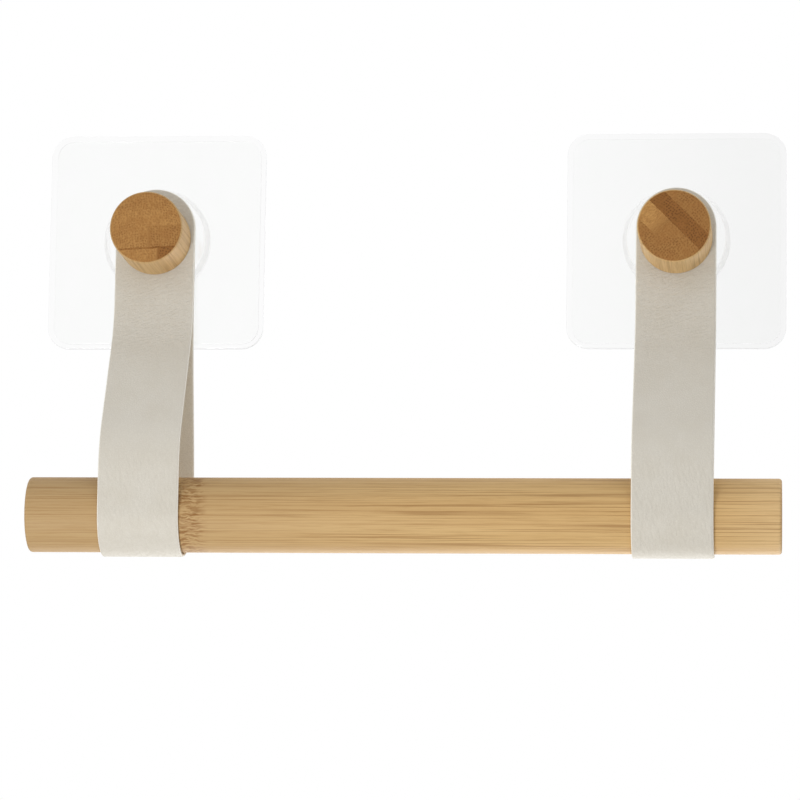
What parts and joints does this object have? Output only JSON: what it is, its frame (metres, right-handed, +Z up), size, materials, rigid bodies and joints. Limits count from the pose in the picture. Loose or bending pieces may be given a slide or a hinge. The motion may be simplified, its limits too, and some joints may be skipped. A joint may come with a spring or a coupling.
{
  "type": "wall-mounted toilet paper holder",
  "caption": "Wall-mounted paper holder: clear adhesive plates carry bamboo pegs that clamp looped leather straps, and a bamboo rod lies in the loops.",
  "frame": {"origin": "on the wall plane, midway between the two plates, at the height of the peg axes", "axes": "+X along the rod to the viewer's right, +Y into the wall, +Z up"},
  "size_m": [0.201, 0.0262, 0.1172],
  "materials": {
    "bamboo": "oiled bamboo",
    "leather": "cream pebbled leather",
    "clear_plastic": "clear moulded plastic",
    "adhesive_gel": "clear gel adhesive",
    "stud_steel": "plated steel",
    "insert_brass": "turned brass"
  },
  "bodies": {
    "wall_mounts": {"left_adhesive_pad": "adhesive_gel", "left_wall_plate": "clear_plastic", "left_stud": "stud_steel", "left_strap_ends": "leather", "right_adhesive_pad": "adhesive_gel", "right_wall_plate": "clear_plastic", "right_stud": "stud_steel", "right_strap_ends": "leather"},
    "straps": {"left_strap_loop": "leather", "right_strap_loop": "leather"},
    "rod": {"rod": "bamboo"},
    "left_insert": {"left_peg_insert": "insert_brass"},
    "left_peg": {"left_peg": "bamboo"},
    "right_insert": {"right_peg_insert": "insert_brass"},
    "right_peg": {"right_peg": "bamboo"}
  },
  "joints": [
    {"name": "strap_swing", "type": "hinge", "parent": "wall_mounts", "child": "straps", "pos_m": [0, -0.0048, -0.0165], "axis": [-1, 0, 0], "range_deg": [0, 75]},
    {"name": "rod_slide", "type": "slide", "parent": "straps", "child": "rod", "axis": [1, 0, 0], "range_m": [-0.185, 0.185]},
    {"name": "left_peg_travel", "type": "slide", "parent": "wall_mounts", "child": "left_insert", "axis": [0, -1, 0], "range_m": [0, 0.0064]},
    {"name": "left_peg_turn", "type": "hinge", "parent": "left_insert", "child": "left_peg", "pos_m": [-0.0705, -0.0228, 0], "axis": [0, -1, 0], "range_deg": [0, 2880]},
    {"name": "right_peg_travel", "type": "slide", "parent": "wall_mounts", "child": "right_insert", "axis": [0, -1, 0], "range_m": [0, 0.0064]},
    {"name": "right_peg_turn", "type": "hinge", "parent": "right_insert", "child": "right_peg", "pos_m": [0.0705, -0.0228, 0], "axis": [0, -1, 0], "range_deg": [0, 2880]}
  ],
  "couplings": [
    {"joint": "left_peg_travel", "follows": "left_peg_turn", "m_per_rad": 0.00012732},
    {"joint": "right_peg_travel", "follows": "right_peg_turn", "m_per_rad": 0.00012732}
  ]
}
